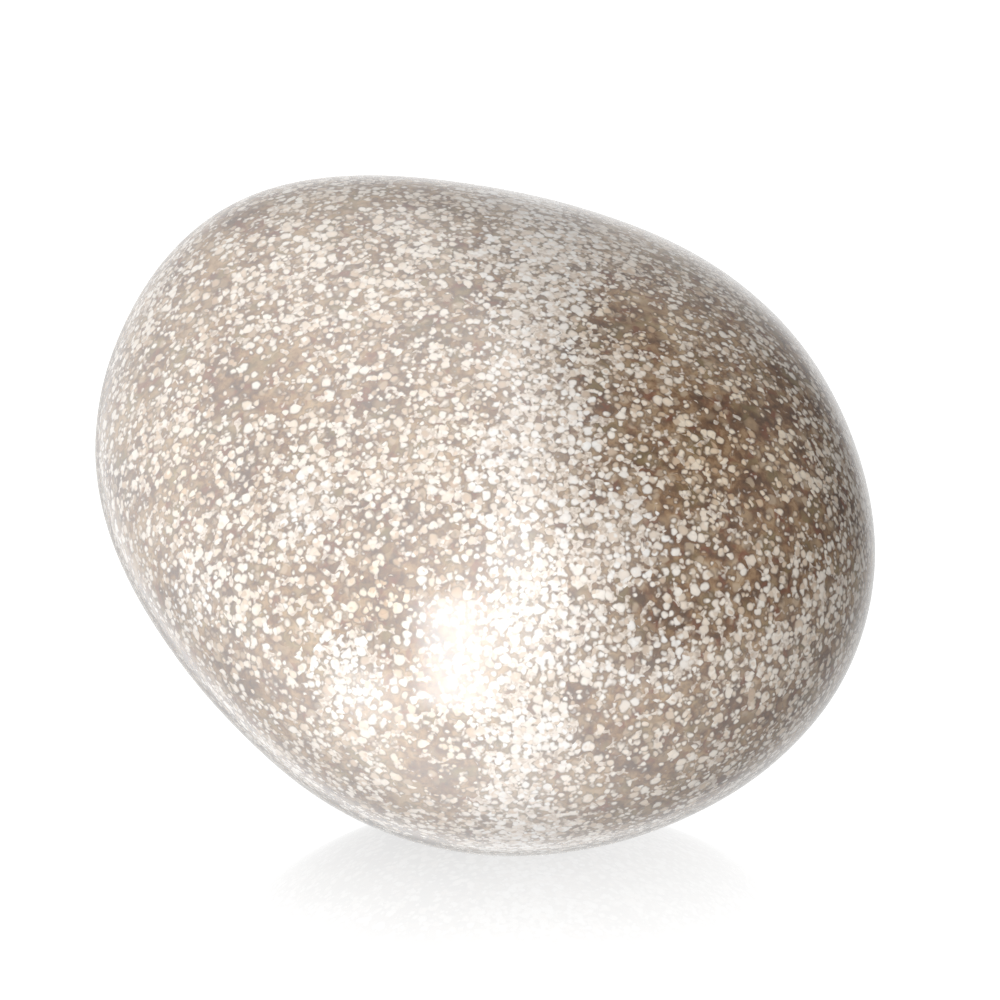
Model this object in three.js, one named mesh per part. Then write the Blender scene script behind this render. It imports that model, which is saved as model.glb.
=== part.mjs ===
// Tumbled jasper: one polished pebble, about 30 mm long, that stands on a small flat spot.
// Millimetres, +Z up, front towards -Y. The origin lies on the surface that the pebble stands on,
// under the middle of its box.
//
// A tumbled stone starts as a broken block. The drum wears its broken faces to broad, soft planes and its
// edges to curves. So the pebble is a rounded core with worn faces on it. The core and each face have a
// gauge, a number that grows with distance from the middle and is 1 on their own surface. The pebble's
// surface is where the soft maximum of all the gauges is 1, and that body is convex and smooth.

import * as THREE from "three";
import { mergeVertices } from "three/addons/utils/BufferGeometryUtils.js";

// The core is an ellipsoid whose long axis slopes down towards +X.
const CORE_HALF_LENGTH = 21;
const CORE_HALF_DEPTH = 17;
const CORE_HALF_HEIGHT = 15;
const CORE_SLOPE = 19;

// Each worn face has a plane under its curve. The plane's normal turns from the front towards +X by turn
// and rises above the horizon by rise, in degrees. Its reach is its distance from the middle.
const WORN_FACES = [
  { side: "upper front", turn: -10, rise: 52, reach: 14.6 },
  { side: "left front", turn: -60, rise: 25, reach: 17.8 },
  { side: "right end", turn: 90, rise: 5, reach: 17.4 },
  { side: "back right", turn: 125, rise: 4, reach: 14.1 },
  { side: "back", turn: 180, rise: 0, reach: 11 },
  { side: "upper back", turn: 180, rise: 45, reach: 14 },
  { side: "back left", turn: -125, rise: 5, reach: 14.3 },
  { side: "top", turn: 90, rise: 68, reach: 14.9 },
  { side: "under the right end", turn: 90, rise: -52, reach: 14 },
  { side: "under the back", turn: 180, rise: -35, reach: 8.2 },
  { side: "under the left end", turn: -90, rise: -42, reach: 12 },
  { side: "bottom", turn: 0, rise: -90, reach: 12.8 },
];

// How crisply one face turns into the next: 2 melts them into an ellipsoid, and 20 leaves edges.
const EDGE_CRISPNESS = 5;

// The height of the cap that is worn off the lowest point, which leaves the flat spot.
const REST_SPOT_WEAR = 0.25;

// Each face of the icosahedron that the surface is drawn from is cut into this many strips.
const SURFACE_STRIPS = 16;

const radians = THREE.MathUtils.degToRad;

const CORE_HALF_AXES = new THREE.Vector3(CORE_HALF_LENGTH, CORE_HALF_DEPTH, CORE_HALF_HEIGHT);
const SLOPE_AXIS = new THREE.Vector3(0, 1, 0);

// The gauge of the sloping core in a direction, at 1 mm from the middle.
function coreGauge(direction) {
  const levelled = direction.clone().applyAxisAngle(SLOPE_AXIS, -radians(CORE_SLOPE));
  return levelled.divide(CORE_HALF_AXES).length();
}

function faceNormal({ turn, rise }) {
  const level = Math.cos(radians(rise));
  return new THREE.Vector3(
    Math.sin(radians(turn)) * level,
    -Math.cos(radians(turn)) * level,
    Math.sin(radians(rise)),
  );
}

// The gauge of one worn face in a direction, at 1 mm from the middle. It is 0 behind the face.
function faceGauge(direction, face) {
  return Math.max(0, direction.dot(faceNormal(face)) / face.reach);
}

// The point of the pebble's surface in a direction from its middle.
function surfacePoint(direction) {
  const gauges = [coreGauge(direction), ...WORN_FACES.map((face) => faceGauge(direction, face))];
  const total = gauges.reduce((sum, gauge) => sum + gauge ** EDGE_CRISPNESS, 0);
  return direction.clone().divideScalar(total ** (1 / EDGE_CRISPNESS));
}

// An even ball of triangles with shared vertices, to be shaped into the pebble.
function ballGeometry() {
  const ball = new THREE.IcosahedronGeometry(1, SURFACE_STRIPS - 1);
  ball.deleteAttribute("normal");
  ball.deleteAttribute("uv");
  return mergeVertices(ball);
}

// Moves each vertex of the ball out to the pebble's surface.
function shapePebble(geometry) {
  const positions = geometry.getAttribute("position");
  const direction = new THREE.Vector3();
  for (let i = 0; i < positions.count; i += 1) {
    direction.fromBufferAttribute(positions, i).normalize();
    positions.setXYZ(i, ...surfacePoint(direction));
  }
}

// Wears the lowest cap away: each vertex under the rest plane moves up to it.
function wearRestSpot(geometry) {
  geometry.computeBoundingBox();
  const restHeight = geometry.boundingBox.min.z + REST_SPOT_WEAR;
  const positions = geometry.getAttribute("position");
  for (let i = 0; i < positions.count; i += 1) {
    positions.setZ(i, Math.max(positions.getZ(i), restHeight));
  }
}

// The shift that puts the middle of the geometry's box over the origin and its lowest plane on it.
function shiftToStand(geometry) {
  geometry.computeBoundingBox();
  const { min, max } = geometry.boundingBox;
  return new THREE.Vector3(-(min.x + max.x) / 2, -(min.y + max.y) / 2, -min.z);
}

const pebble = ballGeometry();
shapePebble(pebble);
wearRestSpot(pebble);
pebble.computeVertexNormals();

const polishedJasper = new THREE.MeshStandardMaterial({
  color: 0xb9a48e,
  roughness: 0.12,
  metalness: 0,
});

const stone = new THREE.Mesh(pebble, polishedJasper);
stone.name = "jasper_stone";
stone.position.copy(shiftToStand(pebble));

const tumbledJasper = new THREE.Group();
tumbledJasper.add(stone);

export default tumbledJasper;
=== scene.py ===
# %% [markdown]
# # A tumbled stone of spotted jasper
#
# A tumbled stone starts as a broken lump of rock. It turns for weeks in a drum with finer and finer grit,
# until its faces are broad soft planes and its skin shines like glass. This lesson makes one stone in four
# steps: the camera, the white studio, the skin of the stone as real geometry, and the spotted mineral as a
# material that is solid all the way through.
#
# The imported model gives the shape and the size. Every length below is in metres.

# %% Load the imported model
import math

import bmesh
import bpy
import numpy as np
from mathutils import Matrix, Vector, noise
from mathutils.bvhtree import BVHTree


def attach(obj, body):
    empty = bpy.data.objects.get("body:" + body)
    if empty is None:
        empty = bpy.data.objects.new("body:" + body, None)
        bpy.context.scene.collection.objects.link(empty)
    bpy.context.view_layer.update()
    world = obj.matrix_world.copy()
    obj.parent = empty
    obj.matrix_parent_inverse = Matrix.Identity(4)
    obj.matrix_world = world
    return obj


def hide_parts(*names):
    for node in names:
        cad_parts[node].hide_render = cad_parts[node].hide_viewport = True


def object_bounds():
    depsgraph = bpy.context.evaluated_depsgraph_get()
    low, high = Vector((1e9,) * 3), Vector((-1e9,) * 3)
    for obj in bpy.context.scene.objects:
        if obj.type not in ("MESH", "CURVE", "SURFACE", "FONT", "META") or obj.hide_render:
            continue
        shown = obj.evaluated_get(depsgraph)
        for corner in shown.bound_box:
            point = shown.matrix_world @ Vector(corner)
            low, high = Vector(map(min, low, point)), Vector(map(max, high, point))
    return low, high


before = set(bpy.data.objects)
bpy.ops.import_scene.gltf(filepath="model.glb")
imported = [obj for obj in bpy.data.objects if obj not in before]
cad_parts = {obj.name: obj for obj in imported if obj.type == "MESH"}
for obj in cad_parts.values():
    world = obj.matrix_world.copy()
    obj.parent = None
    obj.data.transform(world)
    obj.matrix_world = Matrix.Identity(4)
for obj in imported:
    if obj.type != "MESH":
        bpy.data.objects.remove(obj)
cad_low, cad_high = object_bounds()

MM = 0.001
STONE_NODE = "jasper_stone"
cad_size = cad_high - cad_low
cad_middle = (cad_low + cad_high) / 2
print("stone, mm:", [round(side / MM, 2) for side in cad_size])

# %% [markdown]
# ## The camera
#
# A small object is usually shot from a distance with a long lens, so that it doesn't look swollen. Here the
# lens is 251 mm and the camera stands 268 mm away, 16 degrees above the table, straight in front. The
# camera could be turned by angles, but it is easier to name the point that it looks at and let
# to_track_quat find the turn.

# %% Place the camera
CAMERA_RISE = math.radians(16)
CAMERA_DISTANCE = 268 * MM
CAMERA_PIVOT = Vector((-0.03, 3.43, 11.05)) * MM
CAMERA_TARGET = Vector((0.61, 3.63, 11.75)) * MM
LENS = 251
SENSOR_WIDTH = 36
NEAREST_SEEN = 10 * MM

camera = bpy.data.objects.new("camera", bpy.data.cameras.new("camera"))
bpy.context.scene.collection.objects.link(camera)
camera.data.lens = LENS
camera.data.sensor_width = SENSOR_WIDTH
camera.data.clip_start = NEAREST_SEEN
toward_camera = Vector((0, -math.cos(CAMERA_RISE), math.sin(CAMERA_RISE)))
camera.location = CAMERA_PIVOT + toward_camera * CAMERA_DISTANCE
camera.rotation_mode = "QUATERNION"
camera.rotation_quaternion = (CAMERA_TARGET - camera.location).to_track_quat("-Z", "Y")
bpy.context.scene.camera = camera
print("camera at, mm:", [round(x / MM, 1) for x in camera.location])

# %% [markdown]
# A filmic view would grey the white studio and dull the white grains. The Standard view shows them as they
# are, and a white table stays white.

# %% Choose the plain view
bpy.context.scene.view_settings.view_transform = "Standard"
print("view:", bpy.context.scene.view_settings.view_transform)

# %% [markdown]
# ## Small helpers for nodes
#
# Materials and the studio light are made of nodes. Linking them by hand takes four lines a node. A few
# short helpers keep the code readable: one adds a node and sets its values, the next ones do sums, and the
# last ones turn a number into another number or into a colour.

# %% Add a node
def add_node(tree, kind, inputs=None, **settings):
    """Adds a node, sets its properties, and gives each named or numbered input a value or a link."""
    node = tree.nodes.new(kind)
    for name, value in settings.items():
        setattr(node, name, value)
    for key, value in (inputs or {}).items():
        socket = node.inputs[key]
        if isinstance(value, bpy.types.NodeSocket):
            tree.links.new(value, socket)
        else:
            socket.default_value = value
    return node


print("node helper ready")

# %% Sums with nodes
def math_node(tree, operation, a, b=0.0):
    """One Math node. Returns its output."""
    return add_node(tree, "ShaderNodeMath", {0: a, 1: b}, operation=operation).outputs[0]


def add(tree, a, b):
    """a + b."""
    return math_node(tree, "ADD", a, b)


def subtract(tree, a, b):
    """a - b."""
    return math_node(tree, "SUBTRACT", a, b)


def multiply(tree, a, b):
    """a * b."""
    return math_node(tree, "MULTIPLY", a, b)


def vector_math(tree, operation, a, b):
    """One Vector Math node. b is a vector, or a number to scale by."""
    second = 3 if operation == "SCALE" else 1
    return add_node(tree, "ShaderNodeVectorMath", {0: a, second: b}, operation=operation).outputs[0]


def vector_number(tree, operation, inputs):
    """One Vector Math node that gives a number, such as a length."""
    return add_node(tree, "ShaderNodeVectorMath", inputs, operation=operation).outputs["Value"]


print("sum helpers ready")

# %% Ranges and ramps with nodes
def remap(tree, value, from_low, from_high, to_low=0.0, to_high=1.0, smooth=False):
    """Maps one range to another and clamps the result."""
    node = add_node(
        tree, "ShaderNodeMapRange", {0: value, 1: from_low, 2: from_high, 3: to_low, 4: to_high},
        interpolation_type="SMOOTHSTEP" if smooth else "LINEAR", clamp=True,
    )
    return node.outputs[0]


def color_ramp(tree, factor, stops):
    """A straight ramp from a number to a colour. stops are (place, colour) pairs in rising order."""
    node = add_node(tree, "ShaderNodeValToRGB", {"Fac": factor})
    ramp = node.color_ramp
    ramp.interpolation = "LINEAR"
    while len(ramp.elements) < len(stops):
        ramp.elements.new(0.5)
    for element, (place_on_ramp, color) in zip(ramp.elements, stops):
        element.position = place_on_ramp
        element.color = (*color, 1)
    return node.outputs["Color"]


print("ramp helpers ready")

# %% [markdown]
# ## The studio
#
# A polished stone is a small curved mirror, so most of what we see of its shape is the room that it
# reflects. The room here is a white tent: lit on the left, with a bright panel in front, and open and dark
# on the right. That gives the milky veil over the left half and the deep colour of the right.
#
# The tent could be built of glowing cards. A world shader does the same with less noise. It knows the
# direction of each ray: how far it goes to the right, how far up, and how far behind the stone.

# %% Where a ray goes
world = bpy.data.worlds.new("white tent")
bpy.context.scene.world = world
world.use_nodes = True
sky = world.node_tree
sky.nodes.clear()

ray = add_node(sky, "ShaderNodeTexCoord").outputs["Generated"]
ray_axes = add_node(sky, "ShaderNodeSeparateXYZ", {0: ray}).outputs
side, height = ray_axes["X"], ray_axes["Z"]
side_share = remap(sky, side, -1, 1)

BEHIND = (0, math.cos(CAMERA_RISE), -math.sin(CAMERA_RISE))
behind = vector_number(sky, "DOT_PRODUCT", {0: ray, 1: BEHIND})
print("behind the stone is", [round(x, 2) for x in BEHIND])

# %% [markdown]
# ## What the polished skin mirrors
#
# Five ramps give the light from left to right on the floor, the walls, the ceiling and the backdrop, and the
# ray's height mixes them. A ramp holds at most 1, so the light is stored as a share of the brightest.
# Three soft panels stand in the tent. The first makes the round highlight low on the front of the stone.
# At the rim the skin is seen at a flat angle and mirrors what lies right behind it, the horizon.

# %% Ramps, panels and blends of light
BRIGHTEST = 15


def across(stops):
    """Light from left to right. stops are (side, light); side is -1 at the left and 1 at the right."""
    shares = [((place + 1) / 2, (light / BRIGHTEST,) * 3) for place, light in stops]
    return multiply(sky, color_ramp(sky, side_share, shares), BRIGHTEST)


def panel(side_middle, height_middle, half_width, half_height, edge, light):
    """A glowing rectangle in the tent, with soft edges."""
    off_side = math_node(sky, "ABSOLUTE", subtract(sky, side, side_middle))
    off_height = math_node(sky, "ABSOLUTE", subtract(sky, height, height_middle))
    in_width = remap(sky, off_side, half_width + edge, half_width - edge, smooth=True)
    in_height = remap(sky, off_height, half_height + edge, half_height - edge, smooth=True)
    return multiply(sky, multiply(sky, in_width, in_height), light)


def blend(share, low, high):
    """low where share is 0, high where it is 1."""
    return add_node(sky, "ShaderNodeMix", {"Factor": share, "A": low, "B": high}).outputs[0]


print("brightest light:", BRIGHTEST)

# %% Light of the tent
floor_light = across([
    (-1, 7.5), (-0.5, 9.2), (-0.3, 9.6), (-0.1, 9.3), (0.1, 7.5), (0.35, 5.2), (0.6, 3.2), (1, 1.8),
])
wall_light = across([
    (-1, 7.3), (-0.75, 6.9), (-0.4, 7.8), (-0.1, 10.4), (0.04, 8.8),
    (0.17, 6.8), (0.29, 4.2), (0.48, 1.4), (1, 0.6),
])
ceiling_light = across([
    (-1, 6.5), (-0.7, 5.6), (-0.35, 7.2), (-0.1, 6.6), (0.01, 6.9),
    (0.09, 4.3), (0.20, 1.9), (0.35, 0.8), (0.7, 0.2), (1, 0.3),
])
above_floor = remap(sky, height, -0.3, 0.1, smooth=True)
near_ceiling = remap(sky, height, 0.55, 0.9, smooth=True)
tent = blend(near_ceiling, blend(above_floor, floor_light, wall_light), ceiling_light)

PANELS = [
    {"side_middle": -0.2, "height_middle": 0.0, "half_width": 0.10, "half_height": 0.42,
     "edge": 0.07, "light": 10},
    {"side_middle": -0.5, "height_middle": -0.4, "half_width": 0.13, "half_height": 0.20,
     "edge": 0.08, "light": 4},
    {"side_middle": 0.0, "height_middle": 0.4, "half_width": 0.07, "half_height": 0.45,
     "edge": 0.06, "light": 3},
]
for measures in PANELS:
    tent = add(sky, tent, panel(**measures))
print("panels:", len(PANELS))

# %% Light behind the stone
backdrop_light = across([(-1, 4), (-0.6, 2.4), (-0.3, 1.7), (0, 1.3), (0.3, 0.9), (0.6, 0.3), (1, 0.3)])
low_backdrop_light = across([(-1, 2.6), (-0.5, 2.6), (0, 2.4), (0.4, 1.2), (1, 0.5)])
HORIZON_LIGHT_LOW = 0.95
HORIZON_LIGHT_HIGH = 1.6

backdrop = blend(remap(sky, height, -0.5, 0.0, smooth=True), low_backdrop_light, backdrop_light)
horizon_light = remap(sky, height, -0.3, 0.3, HORIZON_LIGHT_LOW, HORIZON_LIGHT_HIGH)
at_the_back = remap(sky, behind, -0.35, 0.75, smooth=True)
at_the_horizon = remap(sky, behind, 0.84, 0.96, smooth=True)
mirror_light = blend(at_the_horizon, blend(at_the_back, tent, backdrop), horizon_light)
print("horizon light:", HORIZON_LIGHT_LOW, "to", HORIZON_LIGHT_HIGH)

# %% [markdown]
# ## What lights the matt part
#
# The colour of the stone shows by the light that its matt inside scatters. One broad lamp, high in front
# and a little to the left, lights it. The power of a cosine gives such a lamp a soft edge. Some light comes
# from all around, and some comes up from the white table.
#
# Rays that leave the polish see the tent, all other rays see the lamp, and the camera itself sees plain
# white. One Light Path node tells them apart.

# %% The lamp and the light from the table
MATT_AROUND = 0.10
MATT_PEAK = 2.5
MATT_FOCUS = 4
MATT_FROM = Vector((-0.24, -0.85, 0.40)).normalized()
MATT_FROM_TABLE = 0.35

toward_lamp = math_node(sky, "MAXIMUM", vector_number(sky, "DOT_PRODUCT", {0: ray, 1: MATT_FROM}), 0.0)
lamp = multiply(sky, math_node(sky, "POWER", toward_lamp, MATT_FOCUS), MATT_PEAK)
downward = math_node(sky, "MAXIMUM", multiply(sky, height, -1), 0.0)
from_table = multiply(sky, downward, MATT_FROM_TABLE)
matt_light = add(sky, add(sky, lamp, MATT_AROUND), from_table)
print("lamp from:", [round(x, 2) for x in MATT_FROM])

# %% Join the lights in the world
ray_kind = add_node(sky, "ShaderNodeLightPath").outputs
lit = blend(ray_kind["Is Glossy Ray"], matt_light, mirror_light)
seen = blend(ray_kind["Is Camera Ray"], lit, 1.0)
WHITE = (1, 1, 1, 1)
background = add_node(sky, "ShaderNodeBackground", {"Color": WHITE, "Strength": seen})
add_node(sky, "ShaderNodeOutputWorld", {"Surface": background.outputs[0]})
print("world nodes:", len(sky.nodes))

# %% [markdown]
# ## The table
#
# The stone stands on glossy white board that is lit until it is pure white, and mirrors faintly in it. The
# board glows, so it takes no shadow, and its gloss adds the mirror image. Close to the stone's foot it
# glows a little less: that is painted shade round the foot, and it lets the mirror image show there and
# fade away from it. The board lies a hair below the stone's flat spot, so the two never share a plane.

# %% Make the board
BOARD_HALF = 2.0
BOARD_DROP = 0.01 * MM

board_mesh = bpy.data.meshes.new("table")
board_corners = [(-1, -1), (1, -1), (1, 1), (-1, 1)]
board_points = [(x * BOARD_HALF, y * BOARD_HALF, -BOARD_DROP) for x, y in board_corners]
board_mesh.from_pydata(board_points, [], [(0, 1, 2, 3)])
board = bpy.data.objects.new("table", board_mesh)
bpy.context.scene.collection.objects.link(board)
board.visible_diffuse = False
board.visible_glossy = False
print("table:", 2 * BOARD_HALF, "m square")

# %% Make the board glow and mirror
BOARD_GLOW_IN_PAINTED_SHADE = 0.70
BOARD_GLOW_AWAY = 1.0
PAINTED_SHADE_RADIUS = 2 * MM
PAINTED_SHADE_FADE_RADIUS = 16 * MM
BOARD_ROUGHNESS = 0.015
BOARD_INDEX = 1.5
BLACK = (0, 0, 0, 1)

board_material = bpy.data.materials.new("glossy white board")
board_material.use_nodes = True
board_tree = board_material.node_tree
board_tree.nodes.clear()
board_place = add_node(board_tree, "ShaderNodeTexCoord").outputs["Object"]
level_place = vector_math(board_tree, "MULTIPLY", board_place, (1, 1, 0))
from_foot = vector_number(board_tree, "LENGTH", {0: level_place})
# Painted shade: the board's glow is dimmer close to the stone's foot and rises to full white further out.
glow_with_painted_shade = remap(board_tree, from_foot, PAINTED_SHADE_RADIUS, PAINTED_SHADE_FADE_RADIUS, BOARD_GLOW_IN_PAINTED_SHADE, BOARD_GLOW_AWAY)
board_skin = add_node(
    board_tree, "ShaderNodeBsdfPrincipled",
    {"Base Color": BLACK, "Roughness": BOARD_ROUGHNESS, "IOR": BOARD_INDEX,
     "Emission Color": WHITE, "Emission Strength": glow_with_painted_shade},
)
add_node(board_tree, "ShaderNodeOutputMaterial", {"Surface": board_skin.outputs[0]})
board_mesh.materials.append(board_material)
print("board nodes:", len(board_tree.nodes))

# %% [markdown]
# ## The skin of the stone
#
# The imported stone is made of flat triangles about 1 mm wide, which a polished skin would show at once. So a
# new skin is wrapped round it. A ball whose faces come from a finely cut cube has even, four-sided faces
# and no poles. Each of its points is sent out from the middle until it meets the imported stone, and then
# the skin is relaxed, which melts the flat triangles into one curve. The flat spot underneath stays flat.

# %% Make a ball of even squares
SQUARES_ALONG = 128


def squares_ball(squares_along):
    """A ball from a cut cube. Tangent spacing keeps the squares nearly the same size."""
    ball = bmesh.new()
    bmesh.ops.create_cube(ball, size=2)
    bmesh.ops.subdivide_edges(ball, edges=ball.edges[:], cuts=squares_along - 1, use_grid_fill=True)
    for vert in ball.verts:
        vert.co = Vector([math.tan(x * math.pi / 4) for x in vert.co]).normalized()
    mesh = bpy.data.meshes.new("polished_stone")
    ball.to_mesh(mesh)
    ball.free()
    return mesh


skin = squares_ball(SQUARES_ALONG)
print("skin faces:", len(skin.polygons))

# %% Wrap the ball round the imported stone
def read_points(mesh):
    """The mesh's points as rows of x, y and z."""
    points = np.empty(len(mesh.vertices) * 3)
    mesh.vertices.foreach_get("co", points)
    return points.reshape(-1, 3)


def write_points(mesh, points):
    """Moves the mesh's points to new rows of x, y and z."""
    mesh.vertices.foreach_set("co", np.ascontiguousarray(points, dtype=np.float32).ravel())
    mesh.update()


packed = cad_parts[STONE_NODE]
packed_points = [packed.matrix_world @ vert.co for vert in packed.data.vertices]
packed_faces = [tuple(face.vertices) for face in packed.data.polygons]
packed_surface = BVHTree.FromPolygons(packed_points, packed_faces)

WELL_OUTSIDE = 0.1
wrapped = []
for direction in read_points(skin):
    direction = Vector(direction)
    hit = packed_surface.ray_cast(cad_middle + direction * WELL_OUTSIDE, -direction)[0]
    wrapped.append(hit)
write_points(skin, np.array(wrapped))

stone = bpy.data.objects.new("polished_stone", skin)
bpy.context.scene.collection.objects.link(stone)
print("wrapped points:", len(wrapped))

# %% Relax the skin
RELAX_ROUNDS = 60
relax = stone.modifiers.new("relax", "SMOOTH")
relax.factor = 0.5
relax.iterations = RELAX_ROUNDS


def apply_modifiers(obj):
    """Bakes the modifiers into the mesh."""
    graph = bpy.context.evaluated_depsgraph_get()
    made = bpy.data.meshes.new_from_object(obj.evaluated_get(graph))
    made.name = obj.data.name
    obj.modifiers.clear()
    obj.data = made
    return made


skin = apply_modifiers(stone)
relaxed = read_points(skin)
print("relaxed size, mm:", ((relaxed.max(0) - relaxed.min(0)) / MM).round(3))

# %% [markdown]
# ## Wear
#
# No drum wears a stone perfectly round. Its faces keep very low waves, a few hundredths of a millimetre
# high, which nobody sees as shape but which bend the reflections. They are real geometry here, from two
# sizes of smooth noise along the skin's normals. The waves die out at the flat spot. Relaxing draws the
# skin in a little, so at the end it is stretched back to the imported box.

# %% Add the low waves of wear
WAVES = [
    {"length": 9 * MM, "height": 0.09 * MM, "offset": 3.1},
    {"length": 3.5 * MM, "height": 0.022 * MM, "offset": 7.7},
]
FLAT_SPOT_BLEND = 1.2 * MM

skin.update()
normals = np.array([vert.normal for vert in skin.vertices])
heights = np.zeros(len(relaxed))
for wave in WAVES:
    shift = Vector((1, 2, -1)) * wave["offset"]
    heights += [wave["height"] * noise.noise(Vector(point) / wave["length"] + shift) for point in relaxed]
heights *= np.clip(relaxed[:, 2] / FLAT_SPOT_BLEND, 0, 1)
worn = relaxed + normals * heights[:, None]
print("waves, mm:", round(heights.min() / MM, 3), "to", round(heights.max() / MM, 3))

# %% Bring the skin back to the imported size
low, high = worn.min(0), worn.max(0)
grown = (worn - low) / (high - low) * np.array(cad_size) + np.array(cad_low)
write_points(skin, grown)
skin.shade_smooth()
print("stretch:", (np.array(cad_size) / (high - low)).round(4))

# %% [markdown]
# ## The mineral
#
# Spotted jasper is a fine brown quartz crowded with pale round grains, each a third of a millimetre wide.
# A drum cuts through the grains that lie at the skin, so their round sections show at full strength, while
# grains just under the skin shine through the quartz as soft dim spots.
#
# A painted picture would have to be wrapped and would smear. Solid noise is better: Voronoi cells fill
# space, each with a point in it, and a ball around each point is one grain. The skin cuts that solid
# just as the drum does. One group makes one family of grains, and the material uses it five times.
#
# The group gives four things: the grain, a wider rim around it, the grain's own chance number, and the
# depth of the cut, 0 at the grain's edge and 1 in its middle. A grain is kept or left out by chance, and
# the share that is kept swings from patch to patch, so grains gather in flocks.

# %% Start the grain group
def new_group(name, inputs, outputs):
    """An empty shader group. inputs are (name, socket kind, value), and outputs are (name, socket kind)."""
    group = bpy.data.node_groups.new(name, "ShaderNodeTree")
    for label, kind, value in inputs:
        socket = group.interface.new_socket(label, in_out="INPUT", socket_type=kind)
        if value is not None:
            socket.default_value = value
    for label, kind in outputs:
        group.interface.new_socket(label, in_out="OUTPUT", socket_type=kind)
    return group, group.nodes.new("NodeGroupInput").outputs, group.nodes.new("NodeGroupOutput").inputs


VECTOR, FLOAT = "NodeSocketVector", "NodeSocketFloat"

grains, given, gives = new_group(
    "round grains",
    [("Place", VECTOR, None), ("Cell", FLOAT, 0.5 * MM), ("Smallest", FLOAT, 0.2),
     ("Largest", FLOAT, 0.45), ("Edge", FLOAT, 0.05), ("Crowding", FLOAT, 0.8),
     ("Patchiness", FLOAT, 0.5), ("Patch Size", FLOAT, 5 * MM), ("Shift", VECTOR, (0, 0, 0))],
    [("Grain", FLOAT), ("Rim", FLOAT), ("Chance", FLOAT), ("Depth", FLOAT)],
)
print("grain group inputs:", [socket.name for socket in given if socket.name])

# %% Balls around the cells' points
moved = vector_math(grains, "ADD", given["Place"], given["Shift"])
in_cells = vector_math(grains, "SCALE", moved, math_node(grains, "DIVIDE", 1.0, given["Cell"]))
cells = add_node(
    grains, "ShaderNodeTexVoronoi", {"Vector": in_cells, "Scale": 1.0, "Randomness": 0.85},
).outputs
chances = add_node(grains, "ShaderNodeSeparateColor", {0: cells["Color"]}).outputs
span = subtract(grains, given["Largest"], given["Smallest"])
radius = add(grains, multiply(grains, chances[0], span), given["Smallest"])
inside = subtract(grains, radius, cells["Distance"])
edge_share = math_node(grains, "DIVIDE", inside, given["Edge"])
disc = remap(grains, edge_share, -0.5, 0.5, smooth=True)
wide_disc = remap(grains, edge_share, -1.6, -0.2, smooth=True)
print("grain group nodes so far:", len(grains.nodes))

# %% Keep the grains in flocks
cell_middle = vector_math(grains, "SCALE", cells["Position"], given["Cell"])
cell_place = vector_math(grains, "SUBTRACT", cell_middle, given["Shift"])
patch_scale = math_node(grains, "DIVIDE", 1.0, given["Patch Size"])
patches = add_node(
    grains, "ShaderNodeTexNoise",
    {"Vector": cell_place, "Scale": patch_scale, "Detail": 1.0, "Roughness": 0.5},
).outputs[0]
patch_swing = multiply(grains, subtract(grains, patches, 0.5), given["Patchiness"])
kept = math_node(grains, "LESS_THAN", chances[1], add(grains, given["Crowding"], patch_swing))
grains.links.new(multiply(grains, disc, kept), gives["Grain"])
grains.links.new(multiply(grains, wide_disc, kept), gives["Rim"])
grains.links.new(chances[2], gives["Chance"])
grains.links.new(math_node(grains, "DIVIDE", inside, radius), gives["Depth"])
print("grain group nodes:", len(grains.nodes))

# %% [markdown]
# ## The material and its places
#
# Every pattern below asks for a place inside the stone. Object coordinates give it: they belong to the
# stone, and stay with it wherever it stands. The whole pattern is moved a little, which puts its patches
# right at the skin. Then a little fine noise is added, so that round grains come out slightly lumpy, as
# real ones are.

# %% Start the material
jasper = bpy.data.materials.new("polished spotted jasper")
jasper.use_nodes = True
tree = jasper.node_tree
tree.nodes.clear()


def noise_at(vector, size, detail=2.0, roughness=0.5):
    """Smooth noise with lumps about size wide."""
    values = {"Vector": vector, "Scale": 1 / size, "Detail": detail, "Roughness": roughness}
    return add_node(tree, "ShaderNodeTexNoise", values).outputs


PATTERN_SHIFT = Vector((-0.025, -0.525, -0.34)) * MM
stone_place = add_node(tree, "ShaderNodeTexCoord").outputs["Object"]
solid_place = vector_math(tree, "ADD", stone_place, PATTERN_SHIFT)

WOBBLE_SIZE = 0.30 * MM
WOBBLE_REACH = 0.20 * MM
wobble = noise_at(solid_place, WOBBLE_SIZE, 1.0)["Color"]
wobble_centred = vector_math(tree, "SUBTRACT", wobble, (0.5, 0.5, 0.5))
bent_place = vector_math(tree, "ADD", solid_place, vector_math(tree, "SCALE", wobble_centred, WOBBLE_REACH))
print("wobble, mm:", WOBBLE_REACH / MM)

# %% [markdown]
# ## Where the grains crowd
#
# Grains don't lie evenly. A pale vein, thick with grains, runs down the front a little right of the middle,
# and wanders. Beside it lie pale patches, and browner patches where grains are few. Noise alone would put
# them anywhere, so the vein is a band around one plane and each patch is a soft ball at a chosen place.
# Broad noise swings the crowding everywhere else.

# %% The pale vein
VEIN_MIDDLE = 1.6 * MM
VEIN_HALF_WIDTH = 2.4 * MM
VEIN_WANDER = 5 * MM
WANDER_SIZE = 5 * MM
VEIN_STRENGTH = 0.42

wander = subtract(tree, noise_at(solid_place, WANDER_SIZE, 1.0)[0], 0.5)
across_vein = add_node(tree, "ShaderNodeSeparateXYZ", {0: solid_place}).outputs["X"]
from_vein = subtract(tree, across_vein, VEIN_MIDDLE)
from_vein = add(tree, from_vein, multiply(tree, wander, VEIN_WANDER))
vein = remap(tree, math_node(tree, "ABSOLUTE", from_vein), VEIN_HALF_WIDTH, 0.0, smooth=True)
pale = multiply(tree, vein, VEIN_STRENGTH)
print("vein width, mm:", 2 * VEIN_HALF_WIDTH / MM)

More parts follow.
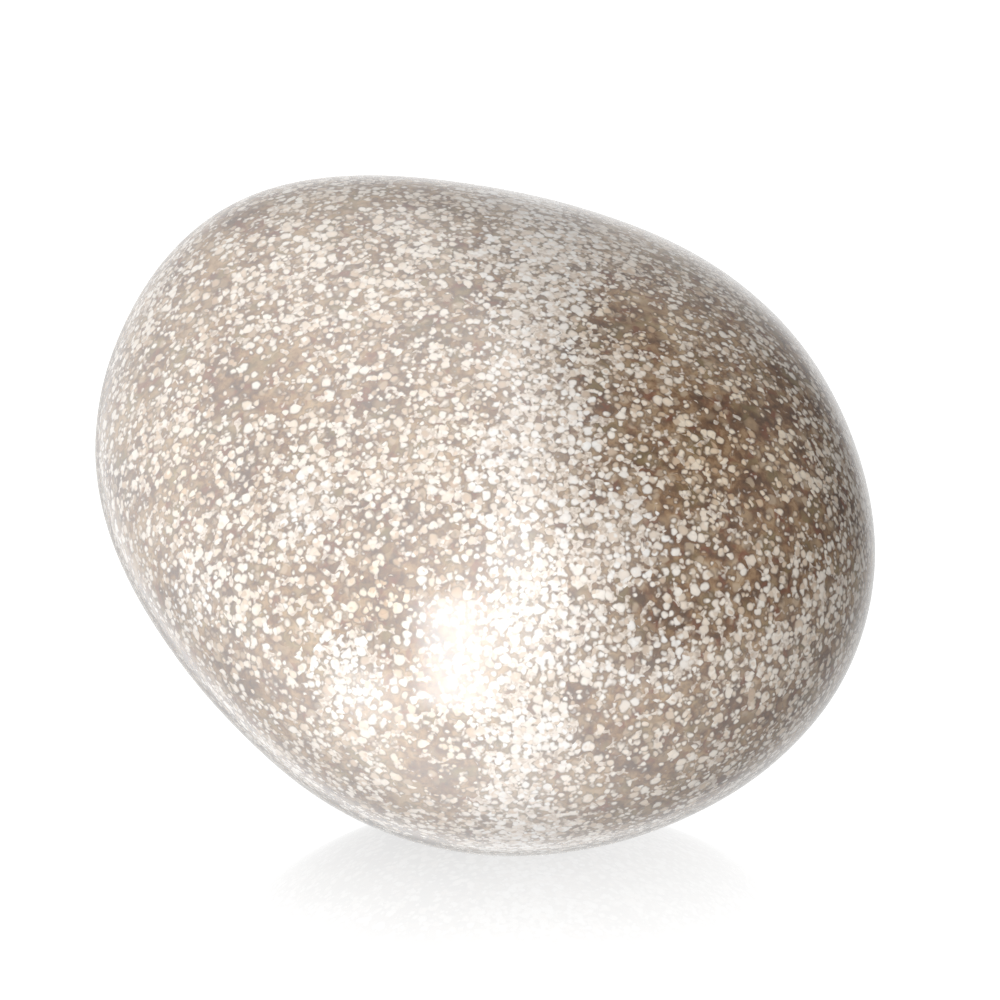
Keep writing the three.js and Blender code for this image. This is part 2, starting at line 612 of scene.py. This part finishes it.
# %% Pale and brown patches
# Each patch has its middle and its radius in mm, and a strength: above 0 is paler, below 0 is browner.
PATCHES = [
    ((-6.7, -10, 15), 1.8, 0.55),
    ((-4.9, -12.8, 9.4), 2.0, 0.6),
    ((-10.8, -8.8, 11), 1.8, 0.35),
    ((3.6, -13.4, 11), 1.6, 0.3),
    ((2.5, -13.4, 7.2), 1.6, 0.4),
    ((3.2, -3.4, 22), 2.4, 0.35),
    ((5.0, -11.9, 14.6), 2.8, 0.45),
    ((5.6, -13.1, 10), 2.6, 0.35),
    ((9.5, -8, 16.5), 5.5, -0.30),
    ((5.7, -4.3, 20.6), 2.4, -0.4),
    ((-3.8, -12.5, 12.3), 2.0, -0.4),
    ((-2.2, -12.9, 5.9), 2.0, -0.3),
    ((-11, -7, 15.2), 2.6, -0.2),
]
for patch_middle, patch_radius, strength in PATCHES:
    away = vector_number(tree, "DISTANCE", {0: solid_place, 1: Vector(patch_middle) * MM})
    patch = remap(tree, away, patch_radius * MM, 0.0, 0.0, strength, smooth=True)
    pale = add(tree, pale, patch)
print("patches:", len(PATCHES))

# %% How much the grains crowd
EVEN_CROWDING = 0.54
ZONE_SIZE = 4 * MM
ZONE_SWING = 1.3

zones = subtract(tree, noise_at(solid_place, ZONE_SIZE)[0], 0.5)
crowding = add(tree, add(tree, pale, multiply(tree, zones, ZONE_SWING)), EVEN_CROWDING)
print("even crowding:", EVEN_CROWDING)

# %% [markdown]
# ## The brown ground
#
# The quartz between the grains is clear to cloudy and stained by iron: dark brown to warm tan, with a few
# rusty and olive clouds, and greyer inside the pale vein. Fine and broad noise are mixed and sent through
# one colour ramp, and the clouds are laid over it. The clouds use noise from far away places, so they
# don't follow the ramp.

# %% Mix two colours
def mix_color(factor, under, over, blend_type="MIX"):
    """Lays one colour over another by a factor. Each is a link or a plain value."""
    node = add_node(tree, "ShaderNodeMix", data_type="RGBA", blend_type=blend_type)
    factor_socket, under_socket, over_socket = 0, 6, 7
    for index, value in ((factor_socket, factor), (under_socket, under), (over_socket, over)):
        if isinstance(value, bpy.types.NodeSocket):
            tree.links.new(value, node.inputs[index])
        elif index == factor_socket:
            node.inputs[index].default_value = value
        else:
            node.inputs[index].default_value = (*value, 1)
    return node.outputs[2]


print("colour mixer ready")

# %% Stain the ground
GROUND_COLORS = [
    (0.37, (0.105, 0.052, 0.026)),
    (0.46, (0.200, 0.105, 0.050)),
    (0.54, (0.350, 0.215, 0.112)),
    (0.64, (0.490, 0.340, 0.195)),
]
MOTTLE_SIZE, MOTTLE_SHARE = 0.45 * MM, 0.55
BROWN_ZONE_SIZE, BROWN_ZONE_SHARE = 2.6 * MM, 0.45
RUST, RUST_SIZE, RUST_STRENGTH = (0.21, 0.070, 0.034), 0.6 * MM, 0.75
RUST_AWAY = Vector((0.05, 0.02, 0.01))
OLIVE, OLIVE_SIZE, OLIVE_STRENGTH = (0.26, 0.200, 0.090), 1.1 * MM, 0.6
OLIVE_AWAY = Vector((-0.03, 0.06, 0.02))
GREY_GROUND, MOST_GREY = (0.30, 0.250, 0.210), 0.6

mottle = noise_at(bent_place, MOTTLE_SIZE, 3.0, 0.6)[0]
brown_zones = noise_at(solid_place, BROWN_ZONE_SIZE)[0]
tone = add(tree, multiply(tree, mottle, MOTTLE_SHARE), multiply(tree, brown_zones, BROWN_ZONE_SHARE))
ground = color_ramp(tree, tone, GROUND_COLORS)

rust_noise = noise_at(vector_math(tree, "ADD", bent_place, RUST_AWAY), RUST_SIZE)[0]
rust_cloud = remap(tree, rust_noise, 0.54, 0.68, smooth=True)
ground = mix_color(multiply(tree, rust_cloud, RUST_STRENGTH), ground, RUST)

olive_noise = noise_at(vector_math(tree, "ADD", bent_place, OLIVE_AWAY), OLIVE_SIZE)[0]
olive_cloud = remap(tree, olive_noise, 0.54, 0.70, smooth=True)
ground = mix_color(multiply(tree, olive_cloud, OLIVE_STRENGTH), ground, OLIVE)

grey_share = remap(tree, pale, 0.1, 0.6, 0.0, MOST_GREY)
ground = mix_color(grey_share, ground, GREY_GROUND)
print("ground colours:", len(GROUND_COLORS))

# %% [markdown]
# ## Grains under the skin
#
# Quartz lets light in, so grains a little below the skin show as soft tan spots. Real scattering would
# take long to render. It is enough to ask the grain group for a place below the skin, along the
# normal, with a softer edge, and to lay that family over the ground at part strength: the deeper, the
# weaker.

# %% Two hidden families
DEEP_FAMILY = {
    "Cell": 0.60 * MM, "Smallest": 0.30, "Largest": 0.55, "Edge": 0.35,
    "Patchiness": 0.8, "Patch Size": 1.6 * MM, "Shift": (0.31, 0.17, 0.05),
}
SHALLOW_FAMILY = {
    "Cell": 0.44 * MM, "Smallest": 0.26, "Largest": 0.48, "Edge": 0.26,
    "Patchiness": 0.8, "Patch Size": 1.4 * MM, "Shift": (0.11, 0.07, 0.23),
}
DEEP_COLOR, DEEP_STRENGTH, DEEP_UNDER = (0.47, 0.34, 0.21), 0.50, 0.30 * MM
SHALLOW_COLOR, SHALLOW_STRENGTH, SHALLOW_UNDER = (0.58, 0.45, 0.32), 0.70, 0.14 * MM

skin_normal = add_node(tree, "ShaderNodeNewGeometry").outputs["Normal"]


def under_skin(depth):
    """The place a little way below the skin."""
    return vector_math(tree, "ADD", bent_place, vector_math(tree, "SCALE", skin_normal, -depth))


def grain_family(place, values):
    """One use of the grain group, at a place and with its own values."""
    node = add_node(tree, "ShaderNodeGroup", node_tree=grains)
    tree.links.new(place, node.inputs["Place"])
    tree.links.new(crowding, node.inputs["Crowding"])
    for name, value in values.items():
        node.inputs[name].default_value = value
    return node.outputs


deep = grain_family(under_skin(DEEP_UNDER), DEEP_FAMILY)
shallow = grain_family(under_skin(SHALLOW_UNDER), SHALLOW_FAMILY)
color = mix_color(multiply(tree, deep["Grain"], DEEP_STRENGTH), ground, DEEP_COLOR)
color = mix_color(multiply(tree, shallow["Grain"], SHALLOW_STRENGTH), color, SHALLOW_COLOR)
print("hidden families: 2")

# %% [markdown]
# ## Milky masses
#
# Where grains crowd they grow into each other and leave milky, curdled masses. A level of fine noise
# marks them, and the level sinks where grains crowd, so the vein holds more of them. Finer noise
# mixes two whites inside, or the masses would look like paint.

# %% Curdled milk
MILK_SIZE = 0.34 * MM
MILK_LEVEL = 0.70
MILK_LEVEL_DROP = 0.20
CURDLE_SIZE = 0.12 * MM
DULL_MILK = (0.58, 0.48, 0.39)
BRIGHT_MILK = (0.88, 0.79, 0.70)

milk_level = subtract(tree, MILK_LEVEL, multiply(tree, crowding, MILK_LEVEL_DROP))
milk_over = subtract(tree, noise_at(bent_place, MILK_SIZE, 1.0)[0], milk_level)
milk = remap(tree, milk_over, -0.01, 0.06, smooth=True)
curdle = remap(tree, noise_at(bent_place, CURDLE_SIZE, 1.0)[0], 0.38, 0.62)
milk_color = mix_color(curdle, DULL_MILK, BRIGHT_MILK)
print("milk lumps, mm:", MILK_SIZE / MM)

# %% [markdown]
# ## Grains cut by the skin
#
# Three families of different sizes lie over each other, the coarsest first. Each grain has a dark seam
# round it, but a seam painted with its grain would cut the neighbours, and real neighbours merge. So the
# rims of all three families are taken together and laid on the ground before any grain. Then come the
# milk and the grains. A grain's chance number picks its white, the middle of a cut is a little lighter than
# its edge, and grains away from the vein are tinted by the tan quartz over them.

# %% Three families at the skin
CUT_FAMILIES = [
    {"Cell": 0.43 * MM, "Smallest": 0.28, "Largest": 0.50, "Edge": 0.20,
     "Patchiness": 1.5, "Patch Size": 1.3 * MM, "Shift": (0.0, 0.0, 0.0)},
    {"Cell": 0.34 * MM, "Smallest": 0.28, "Largest": 0.46, "Edge": 0.22,
     "Patchiness": 1.5, "Patch Size": 1.3 * MM, "Shift": (0.013, 0.027, 0.041)},
    {"Cell": 0.26 * MM, "Smallest": 0.24, "Largest": 0.44, "Edge": 0.26,
     "Patchiness": 1.2, "Patch Size": 1.1 * MM, "Shift": (0.023, -0.017, 0.011)},
]
SEAM, SEAM_STRENGTH = (0.11, 0.070, 0.048), 0.55
MILK_STRENGTH = 0.85

cut_families = [grain_family(bent_place, values) for values in CUT_FAMILIES]
rims = cut_families[0]["Rim"]
cut = cut_families[0]["Grain"]
for family in cut_families[1:]:
    rims = math_node(tree, "MAXIMUM", rims, family["Rim"])
    cut = math_node(tree, "MAXIMUM", cut, family["Grain"])
color = mix_color(multiply(tree, rims, SEAM_STRENGTH), color, SEAM)
color = mix_color(multiply(tree, milk, MILK_STRENGTH), color, milk_color)
print("families at the skin:", len(cut_families))

# %% Colour the grains
GRAIN_COLORS = [
    (0.00, (0.56, 0.42, 0.31)),
    (0.12, (0.70, 0.57, 0.45)),
    (0.28, (0.86, 0.76, 0.66)),
    (0.50, (0.94, 0.87, 0.80)),
    (1.00, (0.98, 0.95, 0.91)),
]
TAN_GLAZE = (1.0, 0.90, 0.76)
EDGE_OF_CUT_LIGHT = 0.88

tan_share = remap(tree, pale, 0.12, -0.20)
for family in cut_families:
    tint = color_ramp(tree, family["Chance"], GRAIN_COLORS)
    tint = mix_color(tan_share, tint, mix_color(1.0, tint, TAN_GLAZE, "MULTIPLY"))
    core = remap(tree, family["Depth"], 0.2, 0.8, EDGE_OF_CUT_LIGHT, 1.0)
    core_grey = add_node(tree, "ShaderNodeCombineColor", {0: core, 1: core, 2: core}).outputs[0]
    tint = mix_color(1.0, tint, core_grey, "MULTIPLY")
    color = mix_color(family["Grain"], color, tint)
print("grain colours:", len(GRAIN_COLORS))

# %% [markdown]
# ## Polish
#
# The drum leaves a shine like glass. The grains wear a touch slower than the ground between them, so they
# stand about a thousandth of a millimetre proud, and their shine is a little less sharp. That is too low
# for geometry, so a Bump node gives it. The index of refraction is that of quartz, 1.54.

# %% Polish the stone
POLISH_ON_GROUND = 0.13
POLISH_ON_GRAINS = 0.17
GRAIN_RELIEF = 0.004 * MM
RELIEF_STRENGTH = 0.25
QUARTZ_INDEX = 1.54

relief = add_node(
    tree, "ShaderNodeBump", {"Strength": RELIEF_STRENGTH, "Distance": GRAIN_RELIEF, "Height": cut},
)
roughness = remap(tree, cut, 0, 1, POLISH_ON_GROUND, POLISH_ON_GRAINS)
shine = add_node(
    tree, "ShaderNodeBsdfPrincipled",
    {"Base Color": color, "Roughness": roughness, "IOR": QUARTZ_INDEX, "Normal": relief.outputs[0]},
)
add_node(tree, "ShaderNodeOutputMaterial", {"Surface": shine.outputs[0]})
skin.materials.clear()
skin.materials.append(jasper)
print("jasper nodes:", len(tree.nodes))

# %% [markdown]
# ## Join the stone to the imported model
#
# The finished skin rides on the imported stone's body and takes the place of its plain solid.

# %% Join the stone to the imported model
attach(stone, "root")
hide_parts(STONE_NODE)
print("joined:", stone.name)
